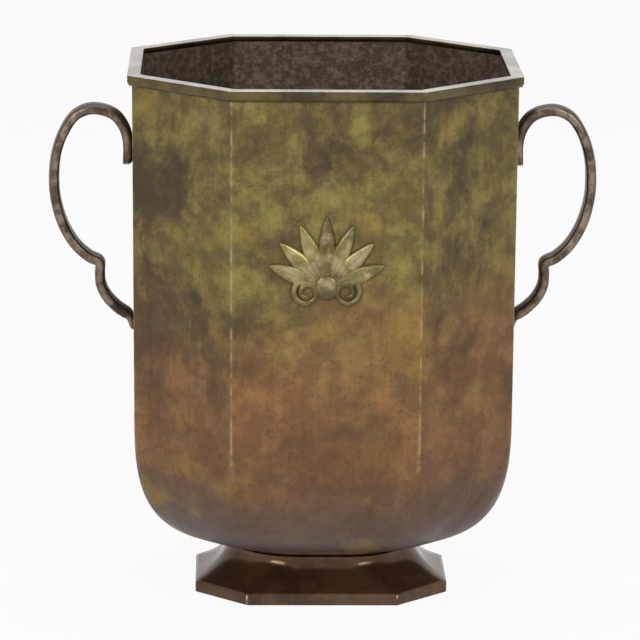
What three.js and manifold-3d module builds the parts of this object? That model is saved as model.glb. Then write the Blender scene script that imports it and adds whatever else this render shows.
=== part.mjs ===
// Two-handled octagonal bronze vase on a bolted-on foot, in millimetres, +Z up.
// The origin is the centre of the foot's underside, and +Y points away from the relief.

import * as THREE from "three";
import { mergeVertices } from "three/addons/utils/BufferGeometryUtils.js";
import Module from "manifold-3d";

// Gap kept between pieces that touch
const SEAT_GAP = 0.3;

// Body: a square plan with cut corners, straight walls and a rounded bowl
const TOTAL_HEIGHT = 220;
const BODY_HALF = 78.1;
const BODY_CUT = 39.8;
const BODY_EDGE_ROUND = 1.2;
const WALL = 3.4;
const BOWL_START = 78;
const BOWL_UNDERSIDE = 22.3;
const BOWL_FLAT_HALF_X = 40.5;
const BOWL_FLAT_HALF_Y = 33.5;
const BOWL_POWER_X = 2.76;
const BOWL_POWER_Y = 2.2;
const BOWL_ROUND_SHARE = 0.85;
const BOWL_ROUND_POWER = 0.6;
const BODY_TAPER = 0.7;

// Rim moulding that caps the wall
const RIM_PROUD = 1.9;
const RIM_HEIGHT = 4.3;
const RIM_BAND = 2.9;
const RIM_TOP = 2.2;
const RIM_EDGE = 0.35;

// Foot: an oblong octagonal slab with a concave flare up to an oval neck
const FOOT_HALF_X = 52.35;
const FOOT_HALF_Y = 42.6;
const FOOT_CUT = 21;
const SLAB_HEIGHT = 4.65;
const SLAB_EDGE_ROUND = 1.4;
const NECK_HALF_X = 40;
const NECK_HALF_Y = 33;
const NECK_CUT = 17;
const NECK_ROUND = 27;
const FLARE_POWER = 2.2;
const FLARE_ROUND_POWER = 0.4;
const COLLAR_HEIGHT = 3.3;
const COLLAR_PROUD = 0.7;
const FOOT_WALL = 4;

// Strap handles
const STRAP_THICKNESS = 4.2;
const STRAP_WIDTH = 11;
const STRAP_EDGE = 0.8;
const HANDLE_BASE = 107.5;
const HANDLE_HEIGHT = 93.1;
const HANDLE_REACH = 30.7;

// Rivets that hold the handles
const RIVET_RADIUS = 1.5;
const RIVET_CLEARANCE = 0.3;
const RIVET_HEAD_RADIUS = 3.2;
const RIVET_HEAD_HEIGHT = 1.2;
const RIVET_BITE = 1.9;
const UPPER_RIVET_UP = 74;
const LOWER_RIVET_UP = 3.2;

// Bolt, washer and nut that clamp the foot and the collar to the body
const BOLT_RADIUS = 4;
const BOLT_CLEARANCE = 0.4;
const BOLT_HEAD_RADIUS = 7.5;
const BOLT_HEAD_HEIGHT = 5;
const BOLT_PAST_NUT = 2.5;
const WASHER_RADIUS = 11;
const WASHER_HEIGHT = 1.6;
const NUT_RADIUS = 7.5;
const NUT_HEIGHT = 6.5;

// Palmette in low relief on the front facet
const RELIEF_HEIGHT = 1.3;
const RELIEF_CENTRE_Z = 141;
const PETAL_COUNT = 7;
const PETAL_LENGTH = 25;
const PETAL_WIDTH = 7.4;
const PETAL_HEIGHT = 1.04;
const PETAL_FAN = 2.4;
const PETAL_SHORTENING = 0.35;
const PETAL_START = 4;
const BOSS_RADIUS = 6.4;
const SCROLL_RADIUS = 7;
const SCROLL_THICKNESS = 2.6;
const SCROLL_HEIGHT = 1.17;
const SCROLL_CENTRE_X = 8;
const SCROLL_DROP = 2;

// Steps that smooth the curves
const ARC_STEPS = 3;
const BOWL_STEPS = 12;
const FLARE_STEPS = 8;
const STRAP_STEPS = 44;
const OUTLINE_STEPS = 10;
const ROUND_SIDES = 24;

const WALL_TOP = TOTAL_HEIGHT - RIM_TOP - SEAT_GAP;
const FLOOR = BOWL_UNDERSIDE + WALL;
const COLLAR_TOP = BOWL_UNDERSIDE - SEAT_GAP;
const NECK_TOP = COLLAR_TOP - COLLAR_HEIGHT - SEAT_GAP;
const FOOT_CEILING = NECK_TOP - FOOT_WALL;
const STRAP_PLANE = BODY_HALF + SEAT_GAP + STRAP_THICKNESS / 2;
const HOLE_RADIUS = BOLT_RADIUS + BOLT_CLEARANCE;
const UPPER_RIVET_HEIGHT = HANDLE_BASE + UPPER_RIVET_UP;
const LOWER_RIVET_HEIGHT = HANDLE_BASE + LOWER_RIVET_UP;

const wasm = await Module();
wasm.setup();

// A ring round an octagon whose corners are rounded off by a radius
function octagonRing(halfX, halfY, cut, round, z) {
  const innerX = halfX - round;
  const innerY = halfY - round;
  const innerCut = cut * Math.min(innerX / halfX, innerY / halfY);
  const shortX = innerX - innerCut;
  const shortY = innerY - innerCut;
  const corners = [
    [innerX, shortY], [shortX, innerY], [-shortX, innerY], [-innerX, shortY],
    [-innerX, -shortY], [-shortX, -innerY], [shortX, -innerY], [innerX, -shortY],
  ];
  const points = [];
  corners.forEach(([x, y], corner) => {
    for (let step = 0; step <= ARC_STEPS; step++) {
      const angle = (Math.PI / 4) * (corner + step / ARC_STEPS);
      points.push([x + round * Math.cos(angle), y + round * Math.sin(angle), z]);
    }
  });
  return points;
}

// A round ring with as many points as an octagon ring, for a bolt hole
function roundRing(radius, z) {
  const count = 8 * (ARC_STEPS + 1);
  return Array.from({ length: count }, (_, index) => {
    const angle = (2 * Math.PI * (index + 0.5)) / count;
    return [radius * Math.cos(angle), radius * Math.sin(angle), z];
  });
}

// A body lofted through rings that return to the first one
function loftLoop(rings) {
  const count = rings[0].length;
  const positions = rings.flat(2);
  const indices = [];
  for (let ring = 0; ring < rings.length; ring++) {
    const next = (ring + 1) % rings.length;
    for (let point = 0; point < count; point++) {
      const after = (point + 1) % count;
      const a = ring * count + point;
      const b = ring * count + after;
      const c = next * count + after;
      const d = next * count + point;
      indices.push(a, b, c, a, c, d);
    }
  }
  const geometry = new THREE.BufferGeometry();
  geometry.setAttribute("position", new THREE.Float32BufferAttribute(positions, 3));
  geometry.setIndex(indices);
  return geometry;
}

function toSolid(geometry) {
  const bare = geometry.clone();
  bare.deleteAttribute("normal");
  bare.deleteAttribute("uv");
  const merged = mergeVertices(bare, 1e-5);
  return new wasm.Manifold(
    new wasm.Mesh({
      numProp: 3,
      vertProperties: new Float32Array(merged.attributes.position.array),
      triVerts: new Uint32Array(merged.index.array),
    }),
  );
}

function toGeometry(solid) {
  const mesh = solid.getMesh();
  const geometry = new THREE.BufferGeometry();
  geometry.setAttribute("position", new THREE.Float32BufferAttribute(mesh.vertProperties, 3));
  geometry.setIndex(Array.from(mesh.triVerts));
  return geometry;
}

// An upright cylinder or prism from one height to another
function post(radius, bottom, top, sides = ROUND_SIDES) {
  const geometry = new THREE.CylinderGeometry(radius, radius, top - bottom, sides);
  geometry.rotateX(Math.PI / 2);
  geometry.translate(0, 0, (bottom + top) / 2);
  return geometry;
}

// A cylinder along X between two distances from the axis, on one side of the vase
function crossPin(radius, side, near, far, z) {
  const geometry = new THREE.CylinderGeometry(radius, radius, far - near, ROUND_SIDES);
  geometry.rotateZ(Math.PI / 2);
  geometry.translate((side * (near + far)) / 2, 0, z);
  return geometry;
}

// Body section at a share of the bowl's curve: 0 at its start, 1 at the flat underside
function bodyRing(share, inset, lift) {
  const angle = (Math.PI / 2) * share;
  const start = BODY_HALF - BODY_TAPER;
  const leftX = Math.cos(angle) ** (2 / BOWL_POWER_X);
  const leftY = Math.cos(angle) ** (2 / BOWL_POWER_Y);
  const halfX = BOWL_FLAT_HALF_X + (start - BOWL_FLAT_HALF_X) * leftX - inset;
  const halfY = BOWL_FLAT_HALF_Y + (start - BOWL_FLAT_HALF_Y) * leftY - inset;
  const depth = (BOWL_START - BOWL_UNDERSIDE - lift) * Math.sin(angle) ** (2 / BOWL_POWER_X);
  const fall = (1 - leftX) ** BOWL_ROUND_POWER;
  const round = BODY_EDGE_ROUND + (BOWL_ROUND_SHARE * halfY - BODY_EDGE_ROUND) * fall;
  return octagonRing(halfX, halfY, (BODY_CUT * halfY) / BODY_HALF, round, BOWL_START - depth);
}

function bodyShell() {
  const shares = Array.from({ length: BOWL_STEPS + 1 }, (_, step) => step / BOWL_STEPS);
  const outer = shares.map((share) => bodyRing(share, 0, 0)).reverse();
  const inner = shares.map((share) => bodyRing(share, WALL, WALL));
  const topHalf = BODY_HALF - WALL;
  const topCut = (BODY_CUT * topHalf) / BODY_HALF;
  const rings = [
    roundRing(HOLE_RADIUS, BOWL_UNDERSIDE),
    ...outer,
    octagonRing(BODY_HALF, BODY_HALF, BODY_CUT, BODY_EDGE_ROUND, WALL_TOP),
    octagonRing(topHalf, topHalf, topCut, BODY_EDGE_ROUND, WALL_TOP),
    ...inner,
    roundRing(HOLE_RADIUS, FLOOR),
  ];
  let solid = toSolid(loftLoop(rings));
  for (const side of [-1, 1]) {
    for (const z of [UPPER_RIVET_HEIGHT, LOWER_RIVET_HEIGHT]) {
      const near = BODY_HALF - 3 * WALL;
      const hole = crossPin(RIVET_RADIUS + RIVET_CLEARANCE, side, near, BODY_HALF + WALL, z);
      solid = solid.subtract(toSolid(hole));
    }
  }
  return toGeometry(solid);
}

// A rim section, set in from the rim's outer face
function rimRing(inset, z) {
  const half = BODY_HALF + RIM_PROUD - inset;
  return octagonRing(half, half, (BODY_CUT * half) / BODY_HALF, BODY_EDGE_ROUND, z);
}

function rimRingMoulding() {
  const bottom = TOTAL_HEIGHT - RIM_HEIGHT;
  const skirt = RIM_PROUD - SEAT_GAP;
  const innerFace = RIM_PROUD + WALL;
  return loftLoop([
    rimRing(skirt / 2, bottom),
    rimRing(0, TOTAL_HEIGHT - RIM_BAND),
    rimRing(0, TOTAL_HEIGHT - RIM_EDGE),
    rimRing(RIM_EDGE, TOTAL_HEIGHT),
    rimRing(innerFace - RIM_EDGE, TOTAL_HEIGHT),
    rimRing(innerFace, TOTAL_HEIGHT - RIM_EDGE),
    rimRing(innerFace, TOTAL_HEIGHT - RIM_TOP),
    rimRing(skirt, TOTAL_HEIGHT - RIM_TOP),
    rimRing(skirt, bottom),
  ]);
}

function neckRing(proud, z) {
  const halfX = NECK_HALF_X + proud;
  const halfY = NECK_HALF_Y + proud;
  return octagonRing(halfX, halfY, NECK_CUT, NECK_ROUND, z);
}

function neckCollar() {
  const bottom = NECK_TOP + SEAT_GAP;
  const third = COLLAR_HEIGHT / 3;
  return loftLoop([
    roundRing(HOLE_RADIUS, bottom),
    neckRing(0, bottom),
    neckRing(COLLAR_PROUD, bottom + third),
    neckRing(COLLAR_PROUD, COLLAR_TOP - third),
    neckRing(0, COLLAR_TOP),
    roundRing(HOLE_RADIUS, COLLAR_TOP),
  ]);
}

// Foot section at a share of the flare's height, set in for the hollow underneath
function flareRing(share, inset) {
  const spread = (1 - share) ** FLARE_POWER;
  const blend = share ** FLARE_ROUND_POWER;
  const halfX = NECK_HALF_X + (FOOT_HALF_X - NECK_HALF_X) * spread - inset;
  const halfY = NECK_HALF_Y + (FOOT_HALF_Y - NECK_HALF_Y) * spread - inset;
  const cut = FOOT_CUT + (NECK_CUT - FOOT_CUT) * blend;
  const round = SLAB_EDGE_ROUND + (NECK_ROUND - inset - SLAB_EDGE_ROUND) * blend;
  const z = SLAB_HEIGHT + (NECK_TOP - SLAB_HEIGHT) * share;
  return { halfX, halfY, cut, round, z };
}

function footPedestal() {
  const outer = [];
  const inner = [];
  for (let step = 0; step <= FLARE_STEPS; step++) {
    const share = step / FLARE_STEPS;
    const skin = flareRing(share, 0);
    outer.push(octagonRing(skin.halfX, skin.halfY, skin.cut, skin.round, skin.z));
    const core = flareRing(share, FOOT_WALL);
    if (core.z < FOOT_CEILING) {
      inner.unshift(octagonRing(core.halfX, core.halfY, core.cut, core.round, core.z));
    }
  }
  const base = flareRing(0, 0);
  const hollow = flareRing(0, FOOT_WALL);
  const ceiling = flareRing((FOOT_CEILING - SLAB_HEIGHT) / (NECK_TOP - SLAB_HEIGHT), FOOT_WALL);
  return loftLoop([
    octagonRing(base.halfX, base.halfY, base.cut, base.round, 0),
    ...outer,
    roundRing(HOLE_RADIUS, NECK_TOP),
    roundRing(HOLE_RADIUS, FOOT_CEILING),
    octagonRing(ceiling.halfX, ceiling.halfY, ceiling.cut, ceiling.round, FOOT_CEILING),
    ...inner,
    octagonRing(hollow.halfX, hollow.halfY, hollow.cut, hollow.round, 0),
  ]);
}

// The strap's centre line, from the upper pad round to the tail
function strapLine() {
  // Shares of the handle's reach out of the pad's plane, and of its height over the tail's end
  const points = [
    [0, 0.746], [0, 0.854], [0.052, 0.918], [0.195, 0.976], [0.479, 1], [0.7, 0.972],
    [0.863, 0.895], [0.964, 0.8], [1, 0.693], [0.98, 0.591], [0.883, 0.478], [0.72, 0.386],
    [0.537, 0.33], [0.391, 0.304], [0.388, 0.258], [0.375, 0.205], [0.29, 0.147], [0.147, 0.098],
    [0, 0.059], [0, 0],
  ];
  const vectors = points.map(([out, up]) => {
    return new THREE.Vector3(STRAP_PLANE + out * HANDLE_REACH, HANDLE_BASE + up * HANDLE_HEIGHT, 0);
  });
  return new THREE.CatmullRomCurve3(vectors, false, "centripetal");
}

function strapHandle(side) {
  const line = strapLine();
  const outer = [];
  const inner = [];
  for (let step = 0; step <= STRAP_STEPS; step++) {
    const share = step / STRAP_STEPS;
    const point = line.getPointAt(share);
    const tangent = line.getTangentAt(share);
    const reach = STRAP_THICKNESS / 2;
    outer.push(new THREE.Vector2(point.x - tangent.y * reach, point.y + tangent.x * reach));
    inner.unshift(new THREE.Vector2(point.x + tangent.y * reach, point.y - tangent.x * reach));
  }
  const shape = new THREE.Shape([...outer, ...inner]);
  const geometry = new THREE.ExtrudeGeometry(shape, {
    depth: STRAP_WIDTH - 2 * STRAP_EDGE,
    bevelEnabled: true,
    bevelThickness: STRAP_EDGE,
    bevelSize: STRAP_EDGE,
    bevelOffset: -STRAP_EDGE,
    bevelSegments: 1,
  });
  geometry.translate(0, 0, STRAP_EDGE - STRAP_WIDTH / 2);
  geometry.rotateX(Math.PI / 2);
  if (side < 0) {
    geometry.rotateZ(Math.PI);
  }
  let solid = toSolid(geometry);
  for (const z of [UPPER_RIVET_HEIGHT, LOWER_RIVET_HEIGHT]) {
    const far = BODY_HALF + SEAT_GAP + RIVET_BITE + SEAT_GAP;
    const hole = crossPin(RIVET_RADIUS + RIVET_CLEARANCE, side, BODY_HALF - WALL, far, z);
    solid = solid.subtract(toSolid(hole));
  }
  return toGeometry(solid);
}

function rivet(side, z) {
  const headFar = BODY_HALF - WALL - SEAT_GAP - BODY_TAPER;
  const headNear = headFar - RIVET_HEAD_HEIGHT;
  const head = crossPin(RIVET_HEAD_RADIUS, side, headNear, headFar, z);
  const shank = crossPin(RIVET_RADIUS, side, headNear, BODY_HALF + SEAT_GAP + RIVET_BITE, z);
  return toGeometry(toSolid(head).add(toSolid(shank)));
}

function footBolt() {
  const headTop = FOOT_CEILING - SEAT_GAP;
  const shankTop = FLOOR + 2 * SEAT_GAP + WASHER_HEIGHT + NUT_HEIGHT + BOLT_PAST_NUT;
  const head = post(BOLT_HEAD_RADIUS, headTop - BOLT_HEAD_HEIGHT, headTop, 6);
  const shank = post(BOLT_RADIUS, headTop - BOLT_HEAD_HEIGHT, shankTop);
  return toGeometry(toSolid(head).add(toSolid(shank)));
}

function drilledPost(radius, bottom, top, sides) {
  const blank = toSolid(post(radius, bottom, top, sides));
  return toGeometry(blank.subtract(toSolid(post(HOLE_RADIUS, bottom - WALL, top + WALL))));
}

// A leaf outline that points up from the origin
function petalShape(length, width) {
  const shape = new THREE.Shape();
  shape.moveTo(0, 0);
  shape.bezierCurveTo(width * 0.3, length * 0.25, width * 0.75, length * 0.7, 0, length);
  shape.bezierCurveTo(-width * 0.75, length * 0.7, -width * 0.3, length * 0.25, 0, 0);
  return shape;
}

// A scroll's outline beside the boss, as a plain ring
function scrollShape(side) {
  const centre = side * SCROLL_CENTRE_X;
  const shape = new THREE.Shape();
  shape.absarc(centre, -SCROLL_DROP, SCROLL_RADIUS, 0, Math.PI * 2);
  const hole = new THREE.Path();
  hole.absarc(centre, -SCROLL_DROP, SCROLL_RADIUS - SCROLL_THICKNESS, 0, Math.PI * 2);
  shape.holes.push(hole);
  return shape;
}

function raised(shape, height) {
  return new THREE.ExtrudeGeometry(shape, {
    depth: height,
    bevelEnabled: false,
    curveSegments: OUTLINE_STEPS,
  });
}

function reliefOrnament() {
  let solid = toSolid(post(BOSS_RADIUS, 0, RELIEF_HEIGHT));
  for (let index = 0; index < PETAL_COUNT; index++) {
    const offset = index / (PETAL_COUNT - 1) - 0.5;
    const length = PETAL_LENGTH * (1 - PETAL_SHORTENING * Math.abs(offset));
    const petal = raised(petalShape(length, PETAL_WIDTH), PETAL_HEIGHT);
    petal.translate(0, PETAL_START, 0);
    petal.rotateZ(-offset * PETAL_FAN);
    solid = solid.add(toSolid(petal));
  }
  for (const side of [-1, 1]) {
    solid = solid.add(toSolid(raised(scrollShape(side), SCROLL_HEIGHT)));
  }
  const geometry = toGeometry(solid);
  geometry.rotateX(Math.PI / 2);
  geometry.translate(0, -BODY_HALF - SEAT_GAP, RELIEF_CENTRE_Z);
  return geometry;
}

function finish(color, roughness) {
  return new THREE.MeshStandardMaterial({ color, roughness, metalness: 0.9 });
}

const group = new THREE.Group();

function addPiece(name, geometry, material) {
  const mesh = new THREE.Mesh(geometry, material);
  mesh.name = name;
  group.add(mesh);
}

addPiece("body_shell", bodyShell(), finish(0x7d6a35, 0.5));
addPiece("rim_ring", rimRingMoulding(), finish(0x8a8072, 0.35));
addPiece("neck_collar", neckCollar(), finish(0x4a3222, 0.35));
addPiece("foot_pedestal", footPedestal(), finish(0x4e3626, 0.3));
addPiece("relief_ornament", reliefOrnament(), finish(0x8c7c46, 0.4));
for (const [name, side] of [["left", -1], ["right", 1]]) {
  addPiece(`${name}_handle`, strapHandle(side), finish(0x5a4b3e, 0.4));
  addPiece(`${name}_upper_rivet`, rivet(side, UPPER_RIVET_HEIGHT), finish(0x6a5a40, 0.45));
  addPiece(`${name}_lower_rivet`, rivet(side, LOWER_RIVET_HEIGHT), finish(0x6a5a40, 0.45));
}
const washerBottom = FLOOR + SEAT_GAP;
const nutBottom = washerBottom + WASHER_HEIGHT + SEAT_GAP;
addPiece("foot_bolt", footBolt(), finish(0x6b5c40, 0.5));
addPiece(
  "foot_washer",
  drilledPost(WASHER_RADIUS, washerBottom, washerBottom + WASHER_HEIGHT, ROUND_SIDES),
  finish(0x77683f, 0.5),
);
addPiece("foot_nut", drilledPost(NUT_RADIUS, nutBottom, nutBottom + NUT_HEIGHT, 6), finish(0x77683f, 0.5));

export default group;
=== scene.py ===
"""The dressed look of an octagonal two-handled bronze vase, in metres, +Z up, round its CAD frame."""

import math

import bpy
import numpy as np
from mathutils import Matrix, Vector

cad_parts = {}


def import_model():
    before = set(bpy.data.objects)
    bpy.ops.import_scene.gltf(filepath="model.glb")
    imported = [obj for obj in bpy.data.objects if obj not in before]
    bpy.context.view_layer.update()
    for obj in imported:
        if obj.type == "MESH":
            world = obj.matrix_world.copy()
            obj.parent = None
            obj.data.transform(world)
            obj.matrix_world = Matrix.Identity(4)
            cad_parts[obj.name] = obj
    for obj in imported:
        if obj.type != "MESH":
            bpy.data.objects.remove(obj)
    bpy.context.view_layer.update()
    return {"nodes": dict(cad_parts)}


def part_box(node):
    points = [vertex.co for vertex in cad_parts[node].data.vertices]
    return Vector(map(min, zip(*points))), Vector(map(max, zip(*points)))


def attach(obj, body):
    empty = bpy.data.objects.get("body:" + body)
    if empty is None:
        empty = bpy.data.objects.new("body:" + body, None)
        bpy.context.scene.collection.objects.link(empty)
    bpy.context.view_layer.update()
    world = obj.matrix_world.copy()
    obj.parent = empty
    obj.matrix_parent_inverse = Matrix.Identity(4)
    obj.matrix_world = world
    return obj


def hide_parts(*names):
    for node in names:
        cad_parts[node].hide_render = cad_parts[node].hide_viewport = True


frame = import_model()

MM = 0.001

# Sizes taken from the frame
RIM_LOW, RIM_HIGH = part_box("rim_ring")
RIM_HALF = (RIM_HIGH[1] - RIM_LOW[1]) / 2
RIM_BOTTOM = RIM_LOW[2]
TOP = RIM_HIGH[2]
BODY_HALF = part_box("body_shell")[1][1]
WALL_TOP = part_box("body_shell")[1][2]
BODY_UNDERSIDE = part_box("body_shell")[0][2]
FOOT_HALF_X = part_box("foot_pedestal")[1][0]
FOOT_HALF_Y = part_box("foot_pedestal")[1][1]
NECK_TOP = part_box("foot_pedestal")[1][2]
COLLAR_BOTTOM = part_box("neck_collar")[0][2]
COLLAR_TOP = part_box("neck_collar")[1][2]
COLLAR_HALF_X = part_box("neck_collar")[1][0]
STRAP_WIDTH = 2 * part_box("right_handle")[1][1]
RELIEF_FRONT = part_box("relief_ornament")[0][1]
RELIEF_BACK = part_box("relief_ornament")[1][1]

# Sizes of the body's section and its bowl
BODY_CUT = 39.8 * MM
BODY_EDGE_ROUND = 1.2 * MM
WALL = 3.4 * MM
BOWL_START = 78 * MM
BOWL_FLAT_HALF_X = 40.5 * MM
BOWL_FLAT_HALF_Y = 33.5 * MM
BOWL_POWER_X = 2.76
BOWL_POWER_Y = 2.2
BOWL_ROUND_SHARE = 0.85
BOWL_ROUND_POWER = 0.6
BODY_TAPER = 0.7 * MM
HOLE_RADIUS = 4.4 * MM

# Sizes of the rim
RIM_BAND = 2.9 * MM
RIM_TOP = 2.2 * MM
RIM_EDGE = 0.35 * MM
RIM_CORNER_SHARE = 0.3
RIM_LIP = 0.1 * MM
RIM_LIP_DROP = 0.25 * MM
SEAT_GAP = 0.3 * MM

# Sizes of the collar and the foot
BEAD_POWER = 0.7
FOOT_CUT = 21 * MM
SLAB_HEIGHT = 4.65 * MM
SLAB_EDGE_ROUND = 1.4 * MM
SLAB_BEVEL = 0.3 * MM
NECK_HALF_X = 40 * MM
NECK_HALF_Y = 33 * MM
NECK_CUT = 17 * MM
NECK_ROUND = 27 * MM
FLARE_POWER = 2.2
FLARE_ROUND_POWER = 0.4
FOOT_WALL = 4 * MM
FOOT_CEILING = NECK_TOP - FOOT_WALL
FOOT_WEAR = 0.6

# Sizes of the handles, with the tail's and the ends' least width and thickness as shares
STRAP_THICKNESS = 4.2 * MM
HANDLE_BASE = 107.5 * MM
HANDLE_HEIGHT = 93.1 * MM
HANDLE_REACH = 30.7 * MM
TAIL_THICKNESS = 0.3
END_THICKNESS = 0.4
END_WIDTH = 0.2

# Sizes of the palmette, with the leaf's rib and edge
RELIEF_CENTRE_Z = 141 * MM
PETAL_COUNT = 7
PETAL_LENGTH = 25 * MM
PETAL_WIDTH = 7 * MM
PETAL_RISE = 0.95
PETAL_FAN = 2.4
PETAL_SHORTENING = 0.35
PETAL_START = 4 * MM
LEAF_EDGE = 0.02 * MM
RIB_DEPTH = 0.2
RIB_WIDTH = 0.12
BOSS_RADIUS = 5 * MM
SCROLL_REACH = 5.7 * MM
SCROLL_CENTRE_X = 8 * MM
SCROLL_DROP = 2 * MM
SCROLL_TURN = 3.1
SCROLL_TIGHTENING = 0.72
SCROLL_RADIUS = 1.3 * MM
SCROLL_THINNING = 0.45
TUBE_RISE = 0.75
TUBE_EDGE = 0.01 * MM
WEAR_START = 0.55
WEAR_GAIN = 2.2

# Camera that looks from the photograph's angle
CAMERA_AZIMUTH = math.radians(-1.305)
CAMERA_ELEVATION = math.radians(11.911)
CAMERA_ROLL = math.radians(0.428)
CAMERA_DISTANCE = 1.7649
CAMERA_AIM = Vector((-0.00077, 0, 0.11137))
CAMERA_LENS = 238.2
SENSOR_WIDTH = 36

# Stage
FLOOR_HALF = 6
FLOOR_GREY = (0.85, 0.85, 0.85, 1)
FLOOR_GLOW = 0.93

# Steps that smooth the curves, and where along a facet its extra points lie
ARC_STEPS = 8
BOWL_STEPS = 40
COLLAR_STEPS = 10
FLARE_STEPS = 32
CEILING_STEPS = 8
STRAP_STEPS = 240
CURVE_STEPS = 24
DOME_STEPS = 12
TAIL_STEPS = 12
END_STEPS = 5
LEAF_ROWS = 28
LEAF_COLUMNS = 12
SCROLL_STEPS = 89
TUBE_SIDES = 12
BOSS_RINGS = 8
BOSS_SIDES = 32
FACET_STOPS = (0.015, 0.05, 0.15, 0.35, 0.5, 0.65, 0.85, 0.95, 0.985)
RING_COUNT = 8 * (ARC_STEPS + 1 + len(FACET_STOPS))

# How much rounder than the upright edges a corner is when its wear has faded out
FADED_ROUND = 5 * MM


def octagon_ring(half_x, half_y, cut, rounding, z):
    """Points round an octagon with rounded corners, and how worn each one is, from 0 to 1."""
    inner_x = half_x - rounding
    inner_y = half_y - rounding
    inner_cut = cut * min(inner_x / half_x, inner_y / half_y)
    short_x = inner_x - inner_cut
    short_y = inner_y - inner_cut
    corners = [
        (inner_x, short_y), (short_x, inner_y), (-short_x, inner_y), (-inner_x, short_y),
        (-inner_x, -short_y), (-short_x, -inner_y), (short_x, -inner_y), (inner_x, -short_y),
    ]
    arcs = []
    for corner, (x, y) in enumerate(corners):
        angles = [math.pi / 4 * (corner + step / ARC_STEPS) for step in range(ARC_STEPS + 1)]
        arcs.append([(x + rounding * math.cos(a), y + rounding * math.sin(a), z) for a in angles])
    points = []
    marks = []
    sharpness = max(1 - (rounding - BODY_EDGE_ROUND) / FADED_ROUND, 0)
    for corner, arc in enumerate(arcs):
        points += arc
        for step in range(ARC_STEPS + 1):
            marks.append(sharpness * math.sin(math.pi * (step + 0.5) / (ARC_STEPS + 1)))
        start = Vector(arc[-1])
        end = Vector(arcs[(corner + 1) % 8][0])
        for stop in FACET_STOPS:
            points.append(tuple(start.lerp(end, stop)))
            marks.append(0.0)
    return points, marks


def round_ring(radius, z):
    """A round ring with as many points as an octagon ring, which is drawn onto a circle."""
    points, _ = octagon_ring(1, 1, cut=0.58, rounding=0.5, z=z)
    ring = []
    for x, y, _ in points:
        length = math.hypot(x, y)
        ring.append((radius * x / length, radius * y / length, z))
    return ring, [0.0] * len(ring)


def mesh_object(name, vertices, faces, marks=None):
    """A smooth mesh object, with the worn-edge marks as a point attribute."""
    mesh = bpy.data.meshes.new(name)
    mesh.from_pydata(vertices, [], faces)
    mesh.update()
    mesh.shade_smooth()
    if marks is not None:
        attribute = mesh.attributes.new("edge_wear", "FLOAT", "POINT")
        attribute.data.foreach_set("value", marks)
    piece = bpy.data.objects.new(name, mesh)
    bpy.context.scene.collection.objects.link(piece)
    return piece


def loft_loop(name, rings, wear=1.0):
    """A closed body through rings that return to the first one."""
    vertices = [point for points, _ in rings for point in points]
    marks = [mark * wear for _, ring_marks in rings for mark in ring_marks]
    count = len(rings[0][0])
    faces = []
    for ring in range(len(rings)):
        following = (ring + 1) % len(rings)
        for point in range(count):
            after = (point + 1) % count
            faces.append((
                ring * count + point, ring * count + after,
                following * count + after, following * count + point,
            ))
    return mesh_object(name, vertices, faces, marks)


def flatten_facets(piece):
    """Weights the shading towards the large flat faces."""
    modifier = piece.modifiers.new("flat_facets", "WEIGHTED_NORMAL")
    modifier.weight = 80
    modifier.keep_sharp = True


def dress(piece, node, material):
    """Puts a piece on the root body in place of its CAD node."""
    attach(piece, "root")
    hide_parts(node)
    piece.data.materials.append(material)


# Node helpers
def new_material(name):
    material = bpy.data.materials.new(name)
    material.use_nodes = True
    tree = material.node_tree
    shader = tree.nodes["Principled BSDF"]
    return material, tree, shader


def add_node(tree, kind, **values):
    node = tree.nodes.new(kind)
    for key, value in values.items():
        setattr(node, key, value)
    return node


def noise(tree, vector, scale, detail=6.0, roughness=0.6, distortion=0.0):
    node = add_node(tree, "ShaderNodeTexNoise")
    node.inputs["Scale"].default_value = scale
    node.inputs["Detail"].default_value = detail
    node.inputs["Roughness"].default_value = roughness
    node.inputs["Distortion"].default_value = distortion
    tree.links.new(vector, node.inputs["Vector"])
    return node.outputs["Fac"]


def stretched(tree, vector, scale, offset=(0, 0, 0)):
    node = add_node(tree, "ShaderNodeMapping")
    node.inputs["Scale"].default_value = scale
    node.inputs["Location"].default_value = offset
    tree.links.new(vector, node.inputs["Vector"])
    return node.outputs["Vector"]


def remap(tree, value, low, high, to_low=0.0, to_high=1.0):
    node = add_node(tree, "ShaderNodeMapRange", interpolation_type="SMOOTHSTEP")
    node.inputs["From Min"].default_value = low
    node.inputs["From Max"].default_value = high
    node.inputs["To Min"].default_value = to_low
    node.inputs["To Max"].default_value = to_high
    tree.links.new(value, node.inputs["Value"])
    return node.outputs["Result"]


def math_node(tree, operation, first, second):
    node = add_node(tree, "ShaderNodeMath", operation=operation)
    for socket, value in zip(node.inputs, (first, second)):
        if isinstance(value, (int, float)):
            socket.default_value = value
        else:
            tree.links.new(value, socket)
    return node.outputs[0]


def mix_colour(tree, factor, first, second):
    node = add_node(tree, "ShaderNodeMix", data_type="RGBA", blend_type="MIX")
    for socket, value in ((node.inputs[0], factor), (node.inputs[6], first), (node.inputs[7], second)):
        if isinstance(value, (int, float)):
            socket.default_value = value
        elif isinstance(value, tuple):
            socket.default_value = (*value, 1.0)
        else:
            tree.links.new(value, socket)
    return node.outputs[2]


def bump(tree, shader, height, distance, strength):
    node = add_node(tree, "ShaderNodeBump")
    node.inputs["Strength"].default_value = strength
    node.inputs["Distance"].default_value = distance
    tree.links.new(height, node.inputs["Height"])
    tree.links.new(node.outputs["Normal"], shader.inputs["Normal"])


def uneven_gloss(tree, shader, coordinates, scale, smoothest, roughest):
    """Roughness that wanders between two values."""
    wander = noise(tree, coordinates, scale, detail=6)
    rough = remap(tree, wander, 0.3, 0.7, to_low=smoothest, to_high=roughest)
    tree.links.new(rough, shader.inputs["Roughness"])


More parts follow.
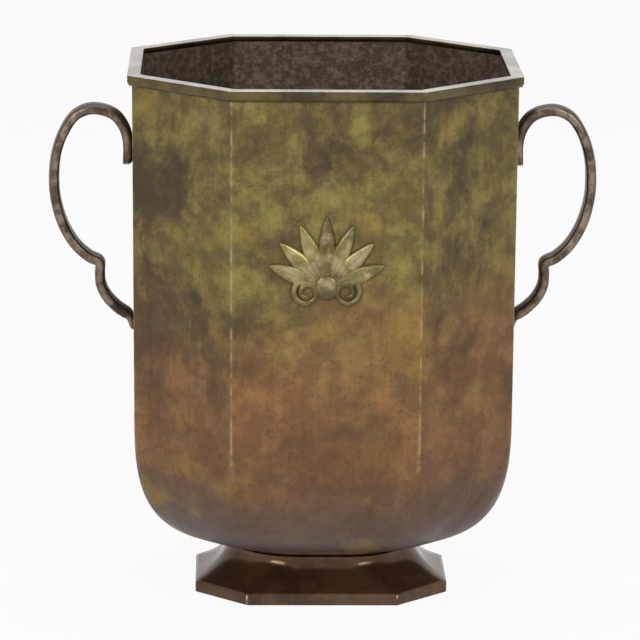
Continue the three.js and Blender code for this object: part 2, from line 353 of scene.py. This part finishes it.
def srgb(red, green, blue):
    """A colour written as screen values from 0 to 255, all over 10, as linear values."""
    return tuple(((value / 255 + 0.055) / 1.055) ** 2.4 for value in (red, green, blue))


def position(tree):
    """The surface point in metres, as a vector and split into X, Y and Z."""
    coordinates = add_node(tree, "ShaderNodeTexCoord").outputs["Object"]
    split = add_node(tree, "ShaderNodeSeparateXYZ")
    tree.links.new(coordinates, split.inputs[0])
    return coordinates, split


def edge_wear(tree, coordinates):
    """Worn edges: the marked corners, broken up by noise."""
    attribute = add_node(tree, "ShaderNodeAttribute", attribute_name="edge_wear")
    broken = remap(tree, noise(tree, coordinates, scale=160, detail=4), 0.4, 0.62)
    return math_node(tree, "MULTIPLY", attribute.outputs["Fac"], broken)


OLIVE = srgb(142, 128, 68)
MOSS = srgb(100, 88, 48)
UMBER = srgb(64, 50, 36)
COPPER = srgb(148, 106, 64)
RUST = srgb(120, 84, 54)
PAINTED_FLOOR_REFLECTION = srgb(98, 80, 70)
WORN = srgb(196, 172, 128)
GOLD_OCHRE = srgb(152, 124, 56)
INSIDE_BROWN = srgb(104, 86, 72)
RIM_REFLECTION_GREY = srgb(176, 168, 160)
RIM_REFLECTION_PALE = srgb(208, 202, 196)
FOOT_BROWN = srgb(104, 76, 54)
FOOT_SHADE = srgb(74, 52, 38)
FOOT_WORN = srgb(200, 172, 144)
HANDLE_BROWN = srgb(98, 82, 68)
HANDLE_SHADE = srgb(66, 52, 42)
HANDLE_WORN = srgb(170, 150, 128)
RELIEF_OLIVE = srgb(150, 136, 78)
RELIEF_SHADE = srgb(90, 80, 46)
RELIEF_WORN = srgb(214, 200, 160)
BRASS = srgb(120, 100, 66)
BRASS_SHADE = srgb(84, 68, 48)


def body_ground(tree, coordinates, height):
    """The large colours: olive above, copper-brown below and a taupe band round the bowl's lowest part,
    which is a painted reflection of the floor.
    """
    wander = noise(tree, coordinates, scale=14, detail=5)
    edge = math_node(tree, "ADD", height, math_node(tree, "MULTIPLY", wander, 0.16))
    upper = remap(tree, edge, 0.155, 0.26)
    fine = remap(tree, noise(tree, coordinates, scale=95, detail=8, roughness=0.68), 0.38, 0.66)
    green = mix_colour(tree, fine, MOSS, OLIVE)
    copper = mix_colour(tree, fine, RUST, COPPER)
    colour = mix_colour(tree, upper, copper, green)
    # Painted reflection of the floor: taupe on the bowl's lowest part, fading out by 75 mm up
    floor_reflection_band = remap(tree, height, 0.028, 0.075, to_low=1.0, to_high=0.0)
    return mix_colour(tree, floor_reflection_band, colour, PAINTED_FLOOR_REFLECTION)


def body_mottle(tree, coordinates, height, colour):
    """Dark patches, gold-ochre clouds, specks and upright streaks over the large colours."""
    patch_noise = noise(tree, coordinates, scale=22, detail=9, roughness=0.68, distortion=0.3)
    patches = remap(tree, patch_noise, 0.43, 0.6)
    lift = remap(tree, height, 0.06, 0.16, to_low=0.35, to_high=0.85)
    colour = mix_colour(tree, math_node(tree, "MULTIPLY", patches, lift), colour, UMBER)
    moved = stretched(tree, coordinates, scale=(1, 1, 1), offset=(3, 1, 2))
    gold = remap(tree, noise(tree, moved, scale=30, detail=7), 0.56, 0.7, to_high=0.5)
    colour = mix_colour(tree, gold, colour, GOLD_OCHRE)
    specks = remap(tree, noise(tree, coordinates, scale=700, detail=3), 0.56, 0.68, to_high=0.35)
    colour = mix_colour(tree, specks, colour, UMBER)
    upright = stretched(tree, coordinates, scale=(1, 1, 0.08))
    streaks = remap(tree, noise(tree, upright, scale=300, detail=3), 0.48, 0.72, to_high=0.2)
    return mix_colour(tree, streaks, colour, UMBER)


def body_material():
    """Olive patina above, copper-brown below, mottled with dark patches and streaks."""
    material, tree, shader = new_material("body_patina_and_painted_reflection")
    coordinates, split = position(tree)
    height = split.outputs["Z"]
    colour = body_ground(tree, coordinates, height)
    colour = body_mottle(tree, coordinates, height, colour)
    worn = math_node(tree, "MULTIPLY", edge_wear(tree, coordinates), 0.55)
    colour = mix_colour(tree, worn, colour, WORN)
    tree.links.new(colour, shader.inputs["Base Color"])
    uneven_gloss(tree, shader, coordinates, scale=60, smoothest=0.4, roughest=0.56)
    shader.inputs["Metallic"].default_value = 0.55
    grain = noise(tree, coordinates, scale=420, detail=6, roughness=0.65)
    bump(tree, shader, grain, distance=0.12 * MM, strength=0.5)
    return material


def inside_material():
    """Brown, rough sand-cast metal."""
    material, tree, shader = new_material("inside_cast")
    coordinates, _ = position(tree)
    grain = noise(tree, coordinates, scale=330, detail=8, roughness=0.7)
    colour = mix_colour(tree, remap(tree, grain, 0.42, 0.62), UMBER, INSIDE_BROWN)
    tree.links.new(colour, shader.inputs["Base Color"])
    shader.inputs["Metallic"].default_value = 0.4
    shader.inputs["Roughness"].default_value = 0.55
    bump(tree, shader, grain, distance=0.6 * MM, strength=0.8)
    return material


def bronze_material(name, base, shade, worn_colour, smoothest, roughest):
    """A patinated bronze: a base and a shade broken up by noise, with worn edges."""
    material, tree, shader = new_material(name)
    coordinates, _ = position(tree)
    mottle = remap(tree, noise(tree, coordinates, scale=55, detail=8, roughness=0.65), 0.35, 0.65)
    colour = mix_colour(tree, mottle, shade, base)
    worn = math_node(tree, "MULTIPLY", edge_wear(tree, coordinates), 0.6)
    colour = mix_colour(tree, worn, colour, worn_colour)
    tree.links.new(colour, shader.inputs["Base Color"])
    uneven_gloss(tree, shader, coordinates, 90, smoothest, roughest)
    shader.inputs["Metallic"].default_value = 0.6
    bump(tree, shader, noise(tree, coordinates, scale=500), distance=0.06 * MM, strength=0.5)
    return material


def rim_material():
    """The body's patina on the band, with a pale grey painted reflection on the top face."""
    material, tree, shader = new_material("rim_bronze_painted_top_reflection")
    coordinates, _ = position(tree)
    mottle = remap(tree, noise(tree, coordinates, scale=45, detail=8, roughness=0.65), 0.38, 0.62)
    band = mix_colour(tree, mottle, UMBER, MOSS)
    facing = add_node(tree, "ShaderNodeSeparateXYZ")
    tree.links.new(add_node(tree, "ShaderNodeNewGeometry").outputs["Normal"], facing.inputs[0])
    # Faces that point upwards get a painted reflection of the pale room above, mottled between two pale
    # greys
    upward = remap(tree, facing.outputs["Z"], 0.35, 0.8)
    painted_top_reflection = mix_colour(tree, mottle, RIM_REFLECTION_GREY, RIM_REFLECTION_PALE)
    tree.links.new(mix_colour(tree, upward, band, painted_top_reflection), shader.inputs["Base Color"])
    uneven_gloss(tree, shader, coordinates, scale=90, smoothest=0.3, roughest=0.42)
    shader.inputs["Metallic"].default_value = 0.55
    bump(tree, shader, noise(tree, coordinates, scale=420), distance=0.08 * MM, strength=0.5)
    return material


# Shapes
def body_ring(share, inset, lift):
    """Body section at a share of the bowl's curve: 0 at its start, 1 at the flat underside."""
    angle = math.pi / 2 * share
    start = BODY_HALF - BODY_TAPER
    left_x = max(math.cos(angle), 0) ** (2 / BOWL_POWER_X)
    left_y = max(math.cos(angle), 0) ** (2 / BOWL_POWER_Y)
    half_x = BOWL_FLAT_HALF_X + (start - BOWL_FLAT_HALF_X) * left_x - inset
    half_y = BOWL_FLAT_HALF_Y + (start - BOWL_FLAT_HALF_Y) * left_y - inset
    depth = (BOWL_START - BODY_UNDERSIDE - lift) * math.sin(angle) ** (2 / BOWL_POWER_X)
    fall = (1 - left_x) ** BOWL_ROUND_POWER
    rounding = BODY_EDGE_ROUND + (BOWL_ROUND_SHARE * half_y - BODY_EDGE_ROUND) * fall
    return octagon_ring(half_x, half_y, BODY_CUT * half_y / BODY_HALF, rounding, BOWL_START - depth)


def square_ring(half, z):
    """A section of the body's own plan, at another size."""
    return octagon_ring(half, half, BODY_CUT * half / BODY_HALF, BODY_EDGE_ROUND, z)


def body_skin():
    """The octagonal body, with its bowl and its wall's inside as one closed shell."""
    shares = [step / BOWL_STEPS for step in range(BOWL_STEPS + 1)]
    outer = [
        round_ring(HOLE_RADIUS, BODY_UNDERSIDE),
        *[body_ring(share, 0, 0) for share in reversed(shares)],
        square_ring(BODY_HALF, WALL_TOP),
    ]
    inner = [
        square_ring(BODY_HALF - WALL, WALL_TOP),
        *[body_ring(share, WALL, WALL) for share in shares],
        round_ring(HOLE_RADIUS, BODY_UNDERSIDE + WALL),
    ]
    piece = loft_loop("vase_body", outer + inner)
    dress(piece, "body_shell", body_material())
    piece.data.materials.append(inside_material())
    for index, face in enumerate(piece.data.polygons):
        if index // RING_COUNT >= len(outer) - 1:
            face.material_index = 1
    flatten_facets(piece)


def rim_moulding():
    """The rebated cap moulding on the wall."""
    proud = RIM_HALF - BODY_HALF
    skirt = proud - SEAT_GAP
    inner_face = proud + WALL
    corner = RIM_EDGE * RIM_CORNER_SHARE
    sections = [
        (skirt, RIM_BOTTOM), (skirt / 2, RIM_BOTTOM), (RIM_LIP, TOP - RIM_BAND - RIM_LIP_DROP),
        (0, TOP - RIM_BAND), (0, TOP - RIM_EDGE), (corner, TOP - corner), (RIM_EDGE, TOP),
        (inner_face - RIM_EDGE, TOP), (inner_face - corner, TOP - corner),
        (inner_face, TOP - RIM_EDGE), (inner_face, TOP - RIM_TOP), (skirt, TOP - RIM_TOP),
    ]
    piece = loft_loop("rim_moulding", [square_ring(RIM_HALF - inset, z) for inset, z in sections])
    dress(piece, "rim_ring", rim_material())
    flatten_facets(piece)


def neck_ring(proud, z):
    return octagon_ring(NECK_HALF_X + proud, NECK_HALF_Y + proud, NECK_CUT, NECK_ROUND, z)


def collar(material):
    """The rounded bead between the bowl and the foot."""
    proud = COLLAR_HALF_X - NECK_HALF_X
    height = COLLAR_TOP - COLLAR_BOTTOM
    bead = []
    for step in range(COLLAR_STEPS + 1):
        share = step / COLLAR_STEPS
        swell = proud * math.sin(math.pi * share) ** BEAD_POWER
        bead.append(neck_ring(swell, COLLAR_BOTTOM + height * share))
    rings = [round_ring(HOLE_RADIUS, COLLAR_BOTTOM), *bead, round_ring(HOLE_RADIUS, COLLAR_TOP)]
    piece = loft_loop("collar_bead", rings, wear=0)
    dress(piece, "neck_collar", material)


def flare_ring(share, inset):
    """Foot section at a share of the flare's height."""
    spread = (1 - share) ** FLARE_POWER
    blend = share ** FLARE_ROUND_POWER
    half_x = NECK_HALF_X + (FOOT_HALF_X - NECK_HALF_X) * spread - inset
    half_y = NECK_HALF_Y + (FOOT_HALF_Y - NECK_HALF_Y) * spread - inset
    cut = FOOT_CUT + (NECK_CUT - FOOT_CUT) * blend
    rounding = SLAB_EDGE_ROUND + (NECK_ROUND - inset - SLAB_EDGE_ROUND) * blend
    return octagon_ring(half_x, half_y, cut, rounding, SLAB_HEIGHT + (NECK_TOP - SLAB_HEIGHT) * share)


def slab_ring(inset, z):
    return octagon_ring(FOOT_HALF_X - inset, FOOT_HALF_Y - inset, FOOT_CUT, SLAB_EDGE_ROUND, z)


def foot(material):
    """The octagonal slab and its concave flare, hollow underneath."""
    outer = [flare_ring(step / FLARE_STEPS, 0) for step in range(1, FLARE_STEPS + 1)]
    ceiling_share = (FOOT_CEILING - SLAB_HEIGHT) / (NECK_TOP - SLAB_HEIGHT)
    inner = [
        flare_ring(ceiling_share * step / CEILING_STEPS, FOOT_WALL)
        for step in reversed(range(CEILING_STEPS + 1))
    ]
    rings = [
        slab_ring(SLAB_BEVEL, 0),
        slab_ring(0, SLAB_BEVEL),
        slab_ring(0, SLAB_HEIGHT - SLAB_BEVEL),
        *outer,
        round_ring(HOLE_RADIUS, NECK_TOP),
        round_ring(HOLE_RADIUS, FOOT_CEILING),
        *inner,
        slab_ring(FOOT_WALL, 0),
    ]
    piece = loft_loop("slab_foot", rings, FOOT_WEAR)
    dress(piece, "foot_pedestal", material)
    flatten_facets(piece)


def strap_line():
    """The strap's centre line in X and Z, from the upper pad round to the tail, in metres."""
    plane = BODY_HALF + SEAT_GAP + STRAP_THICKNESS / 2
    # Shares of the handle's reach out of the pad's plane, and of its height over the tail's end
    shares = [
        (0, 0.746), (0, 0.854), (0.052, 0.918), (0.195, 0.976), (0.479, 1), (0.7, 0.972),
        (0.863, 0.895), (0.964, 0.8), (1, 0.693), (0.98, 0.591), (0.883, 0.478), (0.72, 0.386),
        (0.537, 0.33), (0.391, 0.304), (0.388, 0.258), (0.375, 0.205), (0.29, 0.147), (0.147, 0.098),
        (0, 0.059), (0, 0),
    ]
    return [Vector((plane + out * HANDLE_REACH, HANDLE_BASE + up * HANDLE_HEIGHT)) for out, up in shares]


def smooth_line(points, steps):
    """A centripetal curve through the points, with evenly spread samples."""
    ends = [points[0] * 2 - points[1], *points, points[-1] * 2 - points[-2]]
    dense = []
    for index in range(1, len(ends) - 2):
        p0, p1, p2, p3 = ends[index - 1:index + 3]
        d1 = (p1 - p0).length ** 0.5
        d2 = (p2 - p1).length ** 0.5
        d3 = (p3 - p2).length ** 0.5
        m1 = ((p1 - p0) / d1 - (p2 - p0) / (d1 + d2) + (p2 - p1) / d2) * d2
        m2 = ((p2 - p1) / d2 - (p3 - p1) / (d2 + d3) + (p3 - p2) / d3) * d2
        for step in range(CURVE_STEPS):
            t = step / CURVE_STEPS
            dense.append(
                (2 * t**3 - 3 * t**2 + 1) * p1 + (t**3 - 2 * t**2 + t) * m1
                + (-2 * t**3 + 3 * t**2) * p2 + (t**3 - t**2) * m2
            )
    dense.append(points[-1])
    lengths = [0.0]
    for first, second in zip(dense, dense[1:]):
        lengths.append(lengths[-1] + (second - first).length)
    wanted = np.linspace(0, lengths[-1], steps + 1)
    xs = np.interp(wanted, lengths, [p.x for p in dense])
    zs = np.interp(wanted, lengths, [p.y for p in dense])
    return np.stack([xs, zs], axis=1)


def strap_section():
    """The strap's section as (across, outwards) in metres, domed outside and grooved inside, with wear."""
    half = STRAP_WIDTH / 2
    reach = STRAP_THICKNESS / 2
    points = []
    for step in range(DOME_STEPS + 1):
        across = -half + 2 * half * step / DOME_STEPS
        crown = (1 - (across / half) ** 2) ** 0.5 if abs(across) < half else 0
        points.append((across * 0.985, reach * (0.35 + 0.65 * crown)))
    points += [
        (half, reach * 0.1), (half, -reach * 0.6), (half * 0.9, -reach), (half * 0.3, -reach),
        (half * 0.06, -reach * 0.96), (0, -reach * 0.86), (-half * 0.06, -reach * 0.96),
        (-half * 0.3, -reach), (-half * 0.9, -reach), (-half, -reach * 0.6), (-half, reach * 0.1),
    ]
    marks = [1.0 if abs(across) > half * 0.9 else 0.0 for across, _ in points]
    return points, marks


def strap_rings(side, section):
    """The section swept along the strap, narrowed at both ends and thinned towards the tail."""
    line = smooth_line(strap_line(), STRAP_STEPS)
    tangents = np.gradient(line, axis=0)
    tangents /= np.linalg.norm(tangents, axis=1)[:, None]
    reach = STRAP_THICKNESS / 2
    vertices = []
    for index, (point, tangent) in enumerate(zip(line, tangents)):
        outward = np.array([-tangent[1], tangent[0]])
        from_end = min(min(index, STRAP_STEPS - index) / END_STEPS, 1)
        width = math.sqrt(max(1 - (1 - from_end) ** 2, END_WIDTH**2))
        tail = min((STRAP_STEPS - index) / TAIL_STEPS, 1)
        thickness = TAIL_THICKNESS + (1 - TAIL_THICKNESS) * tail
        thickness *= END_THICKNESS + (1 - END_THICKNESS) * width
        for across, out in section:
            x, z = point + outward * ((out + reach) * thickness - reach)
            vertices.append((side * x, across * width, z))
    return vertices


def strap_faces(side, count):
    """Faces between the strap's rings, with both ends closed."""
    faces = []
    for ring in range(STRAP_STEPS):
        for point in range(count):
            after = (point + 1) % count
            faces.append((
                ring * count + point, ring * count + after,
                (ring + 1) * count + after, (ring + 1) * count + point,
            ))
    faces.append(tuple(reversed(range(count))))
    faces.append(tuple(STRAP_STEPS * count + point for point in range(count)))
    return faces if side < 0 else [face[::-1] for face in faces]


def handle(side, node, material):
    """A strap handle, swept along its line, with rounded ends."""
    section, section_marks = strap_section()
    vertices = strap_rings(side, section)
    faces = strap_faces(side, len(section))
    marks = section_marks * (STRAP_STEPS + 1)
    piece = mesh_object(node.replace("_handle", "_strap"), vertices, faces, marks)
    dress(piece, node, material)


def leaf_front(length, width, height, start):
    """The domed front of a leaf with a midrib, in rows from its base to its tip."""
    points = []
    for row in range(LEAF_ROWS + 1):
        along = row / LEAF_ROWS
        spread = width / 2 * (math.sin(math.pi * min(along, 0.999) ** 0.8)) ** 0.7 + LEAF_EDGE
        swell = 0.45 + 0.55 * math.sin(math.pi * along) ** 0.5
        for column in range(LEAF_COLUMNS + 1):
            across = 2 * column / LEAF_COLUMNS - 1
            dome = max(1 - across**2, 0) ** 0.5
            rib = RIB_DEPTH * math.exp(-(across / RIB_WIDTH) ** 2)
            rise = height * (0.1 + 0.9 * dome * swell - rib * dome)
            points.append((across * spread, start + along * length, rise))
    return points


def leaf_faces():
    """Faces of a leaf's front, its flat back and the edge between them."""
    across = LEAF_COLUMNS + 1
    total = (LEAF_ROWS + 1) * across
    faces = []
    for row in range(LEAF_ROWS):
        for column in range(LEAF_COLUMNS):
            first = row * across + column
            quad = (first, first + 1, first + across + 1, first + across)
            faces.append(quad)
            faces.append(tuple(total + index for index in reversed(quad)))
    border = list(range(across))
    border += [row * across + LEAF_COLUMNS for row in range(1, LEAF_ROWS + 1)]
    border += [LEAF_ROWS * across + column for column in reversed(range(LEAF_COLUMNS))]
    border += [row * across for row in reversed(range(1, LEAF_ROWS))]
    for first, second in zip(border, border[1:] + border[:1]):
        faces.append((second, first, total + first, total + second))
    return faces


def leaf(length, width, height, turn, start):
    """A leaf turned in the facet's plane, as points (x, z, rise) and faces of a closed shell."""
    front = leaf_front(length, width, height, start)
    back = [(x, z, 0.0) for x, z, _ in front]
    cosine = math.cos(turn)
    sine = math.sin(turn)
    points = [(x * cosine + z * sine, z * cosine - x * sine, rise) for x, z, rise in front + back]
    return points, leaf_faces()


def tube(path, radii):
    """A closed half-sunk tube along points (x, z), as points (x, z, rise) and faces."""
    path = np.array(path)
    tangents = np.gradient(path, axis=0)
    tangents /= np.linalg.norm(tangents, axis=1)[:, None]
    points = []
    for (x, z), (tx, tz), radius in zip(path, tangents, radii):
        for side in range(TUBE_SIDES):
            angle = math.pi * side / (TUBE_SIDES - 1)
            across = radius * math.cos(angle)
            rise = radius * TUBE_RISE * math.sin(angle) + TUBE_EDGE
            points.append((x - tz * across, z + tx * across, rise))
    faces = []
    for ring in range(len(path) - 1):
        for side in range(TUBE_SIDES):
            after = (side + 1) % TUBE_SIDES
            faces.append((
                ring * TUBE_SIDES + side, (ring + 1) * TUBE_SIDES + side,
                (ring + 1) * TUBE_SIDES + after, ring * TUBE_SIDES + after,
            ))
    faces.append(tuple(range(TUBE_SIDES)))
    faces.append(tuple((len(path) - 1) * TUBE_SIDES + side for side in reversed(range(TUBE_SIDES))))
    return points, faces


def petals(height):
    """A fan of leaves that get shorter towards its sides."""
    parts = []
    for index in range(PETAL_COUNT):
        offset = index / (PETAL_COUNT - 1) - 0.5
        length = PETAL_LENGTH * (1 - PETAL_SHORTENING * abs(offset))
        parts.append(leaf(length, PETAL_WIDTH, height * PETAL_RISE, offset * PETAL_FAN, PETAL_START))
    return parts


def scroll(side):
    """A spiral beside the boss that gets thinner as it winds inwards."""
    path = []
    radii = []
    for step in range(SCROLL_STEPS + 1):
        share = step / SCROLL_STEPS
        angle = math.pi * (0.5 + SCROLL_TURN * share)
        reach = SCROLL_REACH * (1 - SCROLL_TIGHTENING * share)
        across = side * (SCROLL_CENTRE_X - reach * math.cos(angle))
        path.append((across, -SCROLL_DROP + reach * math.sin(angle)))
        radii.append(SCROLL_RADIUS * (1 - SCROLL_THINNING * share))
    return tube(path, radii)


def boss(height):
    """The dome that the leaves spring from, as points (x, z, rise) and faces."""
    points = [(0, 0, height)]
    for ring in range(1, BOSS_RINGS + 1):
        tilt = math.pi / 2 * ring / BOSS_RINGS
        reach = BOSS_RADIUS * math.sin(tilt)
        for side in range(BOSS_SIDES):
            turn = 2 * math.pi * side / BOSS_SIDES
            points.append((reach * math.cos(turn), reach * math.sin(turn), height * math.cos(tilt)))
    faces = [(0, 1 + side, 1 + (side + 1) % BOSS_SIDES) for side in range(BOSS_SIDES)]
    for ring in range(BOSS_RINGS - 1):
        base = 1 + ring * BOSS_SIDES
        outer = base + BOSS_SIDES
        for side in range(BOSS_SIDES):
            after = (side + 1) % BOSS_SIDES
            faces.append((base + side, outer + side, outer + after, base + after))
    last = 1 + (BOSS_RINGS - 1) * BOSS_SIDES
    faces.append(tuple(last + side for side in reversed(range(BOSS_SIDES))))
    return points, faces


def relief(material):
    """A palmette of leaves over two scrolls and a boss."""
    height = RELIEF_BACK - RELIEF_FRONT
    vertices = []
    faces = []
    for points, part_faces in [*petals(height), scroll(-1), scroll(1), boss(height)]:
        base = len(vertices)
        vertices += [(x, RELIEF_BACK - rise, RELIEF_CENTRE_Z + z) for x, z, rise in points]
        faces += [tuple(base + index for index in face) for face in part_faces]
    marks = []
    for _, y, _ in vertices:
        proud = (RELIEF_BACK - y) / height
        marks.append(min(max(proud - WEAR_START, 0) * WEAR_GAIN, 1))
    piece = mesh_object("palmette", vertices, faces, marks)
    piece.data.validate()
    dress(piece, "relief_ornament", material)


def fastenings(material):
    """The rivets and the foot's bolt, washer and nut keep their CAD shape."""
    for node in frame["nodes"]:
        if "rivet" in node or node in ("foot_bolt", "foot_washer", "foot_nut"):
            piece = frame["nodes"][node]
            piece.data.materials.clear()
            piece.data.materials.append(material)


# Stage
def camera():
    back = Vector((
        math.sin(CAMERA_AZIMUTH) * math.cos(CAMERA_ELEVATION),
        -math.cos(CAMERA_AZIMUTH) * math.cos(CAMERA_ELEVATION),
        math.sin(CAMERA_ELEVATION),
    ))
    data = bpy.data.cameras.new("camera")
    data.lens = CAMERA_LENS
    data.sensor_width = SENSOR_WIDTH
    item = bpy.data.objects.new("camera", data)
    right = Vector((0, 0, 1)).cross(back).normalized()
    up = back.cross(right)
    turn = Matrix((right, up, back)).transposed() @ Matrix.Rotation(CAMERA_ROLL, 3, "Z")
    item.matrix_world = Matrix.Translation(CAMERA_AIM + back * CAMERA_DISTANCE) @ turn.to_4x4()
    bpy.context.scene.collection.objects.link(item)
    bpy.context.scene.camera = item


def sees_background(tree):
    """1 for camera, glossy and transmission rays, which meet the pale background."""
    path = add_node(tree, "ShaderNodeLightPath")
    seen = math_node(tree, "MAXIMUM", path.outputs["Is Camera Ray"], path.outputs["Is Transmission Ray"])
    return math_node(tree, "MAXIMUM", seen, path.outputs["Is Glossy Ray"])


def floor():
    half = FLOOR_HALF
    points = [(-half, -half, 0), (half, -half, 0), (half, half, 0), (-half, half, 0)]
    piece = mesh_object("floor", points, [(0, 1, 2, 3)])
    material, tree, shader = new_material("pale_floor")
    shader.inputs["Base Color"].default_value = FLOOR_GREY
    shader.inputs["Roughness"].default_value = 0.9
    glow = add_node(tree, "ShaderNodeEmission")
    mix = add_node(tree, "ShaderNodeMixShader")
    tree.links.new(math_node(tree, "MULTIPLY", sees_background(tree), FLOOR_GLOW), mix.inputs[0])
    tree.links.new(shader.outputs[0], mix.inputs[1])
    tree.links.new(glow.outputs[0], mix.inputs[2])
    tree.links.new(mix.outputs[0], tree.nodes["Material Output"].inputs["Surface"])
    piece.data.materials.append(material)


def world():
    """A pale room that is dimmer towards the camera's side."""
    item = bpy.data.worlds.new("studio")
    item.use_nodes = True
    tree = item.node_tree
    sky = tree.nodes["Background"]
    coordinates = add_node(tree, "ShaderNodeTexCoord").outputs["Generated"]
    split = add_node(tree, "ShaderNodeSeparateXYZ")
    tree.links.new(coordinates, split.inputs[0])
    level = remap(tree, split.outputs["Y"], -0.9, 0.3, to_low=0.75, to_high=1.0)
    tree.links.new(level, sky.inputs["Strength"])
    pale = add_node(tree, "ShaderNodeBackground")
    mix = add_node(tree, "ShaderNodeMixShader")
    tree.links.new(sees_background(tree), mix.inputs[0])
    tree.links.new(sky.outputs[0], mix.inputs[1])
    tree.links.new(pale.outputs[0], mix.inputs[2])
    tree.links.new(mix.outputs[0], tree.nodes["World Output"].inputs["Surface"])
    bpy.context.scene.world = item


def softbox(name, place, size, power):
    """A rectangular light in watts that faces the middle of the vase."""
    data = bpy.data.lights.new(name, "AREA")
    data.shape = "RECTANGLE"
    data.size = size[0]
    data.size_y = size[1]
    data.energy = power
    item = bpy.data.objects.new(name, data)
    item.location = place
    aim = Vector((0, 0, TOP / 2)) - Vector(place)
    item.rotation_euler = aim.to_track_quat("-Z", "Y").to_euler()
    bpy.context.scene.collection.objects.link(item)


def lights():
    softbox("left_softbox", place=(-0.9, -1.4, 1.0), size=(0.8, 0.9), power=16)
    softbox("right_softbox", place=(0.9, -1.4, 1.1), size=(0.8, 0.9), power=14)
    softbox("top_softbox", place=(0, 0.3, 1.8), size=(1.2, 1.2), power=14)


camera()
world()
lights()
floor()
body_skin()
rim_moulding()
foot_bronze = bronze_material("foot_dark_bronze", FOOT_BROWN, FOOT_SHADE, FOOT_WORN, 0.14, 0.24)
collar(foot_bronze)
foot(foot_bronze)
strap_bronze = bronze_material("handle_brown_bronze", HANDLE_BROWN, HANDLE_SHADE, HANDLE_WORN, 0.28, 0.42)
handle(-1, "left_handle", strap_bronze)
handle(1, "right_handle", strap_bronze)
relief(bronze_material("relief_rubbed_bronze", RELIEF_OLIVE, RELIEF_SHADE, RELIEF_WORN, 0.26, 0.42))
fastenings(bronze_material("fastening_brass", BRASS, BRASS_SHADE, WORN, 0.4, 0.55))

bpy.context.scene.view_settings.view_transform = "Standard"
